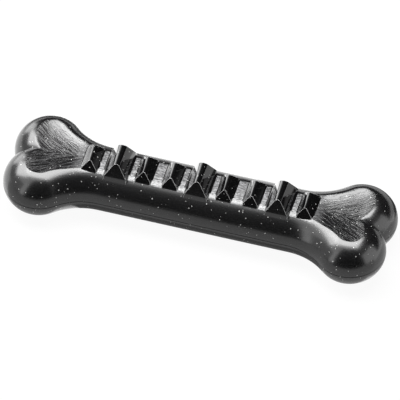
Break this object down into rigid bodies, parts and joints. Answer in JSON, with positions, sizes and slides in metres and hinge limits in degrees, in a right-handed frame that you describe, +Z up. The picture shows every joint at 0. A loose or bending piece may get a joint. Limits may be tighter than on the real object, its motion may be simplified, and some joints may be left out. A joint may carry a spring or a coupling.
{
  "type": "rubber chew toy",
  "caption": "Bone-shaped chew toy in black speckled rubber: hollow half shells joined at mid height, with polished ridges standing across the shaft.",
  "frame": {"origin": "on the ground, under the middle of the bone", "axes": "+X along the bone, +Y across it towards the back lobes, +Z up through the ridges"},
  "size_m": [0.15, 0.0434, 0.0266],
  "materials": {
    "shell_rubber": "satin black with fine white specks",
    "ridge_rubber": "polished black with a few white specks"
  },
  "bodies": {
    "root": {"upper_shell": "shell_rubber", "lower_shell": "shell_rubber", "large_ridge_1": "ridge_rubber", "large_ridge_2": "ridge_rubber", "large_ridge_3": "ridge_rubber", "small_ridge_1": "ridge_rubber", "small_ridge_2": "ridge_rubber", "small_ridge_3": "ridge_rubber", "small_ridge_4": "ridge_rubber", "small_ridge_5": "ridge_rubber", "small_ridge_6": "ridge_rubber"}
  },
  "joints": []
}
